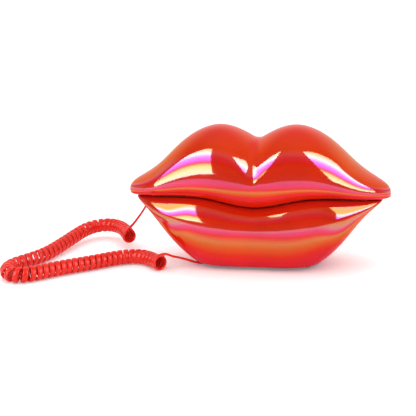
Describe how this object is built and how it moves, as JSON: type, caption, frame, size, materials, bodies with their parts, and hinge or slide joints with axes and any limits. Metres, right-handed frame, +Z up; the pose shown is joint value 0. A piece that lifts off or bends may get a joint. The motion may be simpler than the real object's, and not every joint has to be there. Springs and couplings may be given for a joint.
{
  "type": "novelty lips telephone",
  "caption": "Desk telephone shaped as a pair of glossy lips: the upper lip is the handset, the lower lip is the base, joined by a curly cord.",
  "frame": {"origin": "on the table, under the middle of the lips", "axes": "+X along the lips, with the cord at -X; -Y towards the user; +Z up"},
  "size_m": [0.316, 0.1511, 0.1172],
  "materials": {
    "pearl_red_plastic": "high gloss pearlescent plating over red, pink and gold with the angle",
    "red_plastic": "satin moulded plastic",
    "key_plastic": "ivory moulded plastic, soft gloss",
    "cord_red": "soft glossy cord jacket",
    "black_plastic": "fine textured",
    "clear_plastic": "clear moulded plastic",
    "circuit_green": "solder resist",
    "steel": "zinc plated",
    "rubber": "matt"
  },
  "bodies": {
    "root": {"base_shell": "pearl_red_plastic", "base_cradle": "red_plastic", "base_bottom_plate": "black_plastic", "base_circuit_board": "circuit_green", "ringer_speaker": "black_plastic", "base_ballast": "steel", "hook_switch": "black_plastic", "base_cord_jack": "black_plastic", "base_cord_plug": "clear_plastic", "line_jack": "black_plastic", "cord_coil": "cord_red", "base_cord_tail": "cord_red", "handset_cord_tail": "cord_red", "base_screw_1": "steel", "base_screw_2": "steel", "base_screw_3": "steel", "base_screw_4": "steel", "foot_1": "rubber", "foot_2": "rubber", "foot_3": "rubber", "foot_4": "rubber"},
    "handset": {"handset_shell": "pearl_red_plastic", "handset_face_plate": "red_plastic", "keypad_membrane": "rubber", "handset_circuit_board": "circuit_green", "receiver_gasket": "rubber", "receiver_capsule": "black_plastic", "microphone_boot": "rubber", "microphone_capsule": "steel", "handset_ballast": "steel", "handset_cord_jack": "black_plastic", "handset_cord_plug": "clear_plastic", "handset_screw_1": "steel", "handset_screw_2": "steel", "handset_screw_3": "steel", "handset_screw_4": "steel"},
    "key_mute": {"key_mute": "key_plastic"},
    "key_flash": {"key_flash": "key_plastic"},
    "key_redial": {"key_redial": "key_plastic"},
    "key_1": {"key_1": "key_plastic"},
    "key_2": {"key_2": "key_plastic"},
    "key_3": {"key_3": "key_plastic"},
    "key_4": {"key_4": "key_plastic"},
    "key_5": {"key_5": "key_plastic"},
    "key_6": {"key_6": "key_plastic"},
    "key_7": {"key_7": "key_plastic"},
    "key_8": {"key_8": "key_plastic"},
    "key_9": {"key_9": "key_plastic"},
    "key_star": {"key_star": "key_plastic"},
    "key_0": {"key_0": "key_plastic"},
    "key_hash": {"key_hash": "key_plastic"},
    "hook_plunger": {"hook_plunger": "key_plastic"},
    "ringer_volume_slider": {"ringer_volume_slider": "black_plastic"}
  },
  "joints": [
    {"name": "handset_lift", "type": "slide", "parent": "root", "child": "handset", "axis": [0, 0, 1], "range_m": [0, 0.08]},
    {"name": "key_mute_press", "type": "slide", "parent": "handset", "child": "key_mute", "axis": [0, 0, 1], "range_m": [0, 0.0012], "stiffness_N_per_m": 400},
    {"name": "key_flash_press", "type": "slide", "parent": "handset", "child": "key_flash", "axis": [0, 0, 1], "range_m": [0, 0.0012], "stiffness_N_per_m": 400},
    {"name": "key_redial_press", "type": "slide", "parent": "handset", "child": "key_redial", "axis": [0, 0, 1], "range_m": [0, 0.0012], "stiffness_N_per_m": 400},
    {"name": "key_1_press", "type": "slide", "parent": "handset", "child": "key_1", "axis": [0, 0, 1], "range_m": [0, 0.0012], "stiffness_N_per_m": 400},
    {"name": "key_2_press", "type": "slide", "parent": "handset", "child": "key_2", "axis": [0, 0, 1], "range_m": [0, 0.0012], "stiffness_N_per_m": 400},
    {"name": "key_3_press", "type": "slide", "parent": "handset", "child": "key_3", "axis": [0, 0, 1], "range_m": [0, 0.0012], "stiffness_N_per_m": 400},
    {"name": "key_4_press", "type": "slide", "parent": "handset", "child": "key_4", "axis": [0, 0, 1], "range_m": [0, 0.0012], "stiffness_N_per_m": 400},
    {"name": "key_5_press", "type": "slide", "parent": "handset", "child": "key_5", "axis": [0, 0, 1], "range_m": [0, 0.0012], "stiffness_N_per_m": 400},
    {"name": "key_6_press", "type": "slide", "parent": "handset", "child": "key_6", "axis": [0, 0, 1], "range_m": [0, 0.0012], "stiffness_N_per_m": 400},
    {"name": "key_7_press", "type": "slide", "parent": "handset", "child": "key_7", "axis": [0, 0, 1], "range_m": [0, 0.0012], "stiffness_N_per_m": 400},
    {"name": "key_8_press", "type": "slide", "parent": "handset", "child": "key_8", "axis": [0, 0, 1], "range_m": [0, 0.0012], "stiffness_N_per_m": 400},
    {"name": "key_9_press", "type": "slide", "parent": "handset", "child": "key_9", "axis": [0, 0, 1], "range_m": [0, 0.0012], "stiffness_N_per_m": 400},
    {"name": "key_star_press", "type": "slide", "parent": "handset", "child": "key_star", "axis": [0, 0, 1], "range_m": [0, 0.0012], "stiffness_N_per_m": 400},
    {"name": "key_0_press", "type": "slide", "parent": "handset", "child": "key_0", "axis": [0, 0, 1], "range_m": [0, 0.0012], "stiffness_N_per_m": 400},
    {"name": "key_hash_press", "type": "slide", "parent": "handset", "child": "key_hash", "axis": [0, 0, 1], "range_m": [0, 0.0012], "stiffness_N_per_m": 400},
    {"name": "hook_plunger_rise", "type": "slide", "parent": "root", "child": "hook_plunger", "axis": [0, 0, 1], "range_m": [0, 0.003]},
    {"name": "ringer_volume_slide", "type": "slide", "parent": "root", "child": "ringer_volume_slider", "axis": [1, 0, 0], "range_m": [-0.002, 0.002]}
  ],
  "couplings": [
    {"joint": "hook_plunger_rise", "follows": "handset_lift", "ratio": 0.0375}
  ]
}
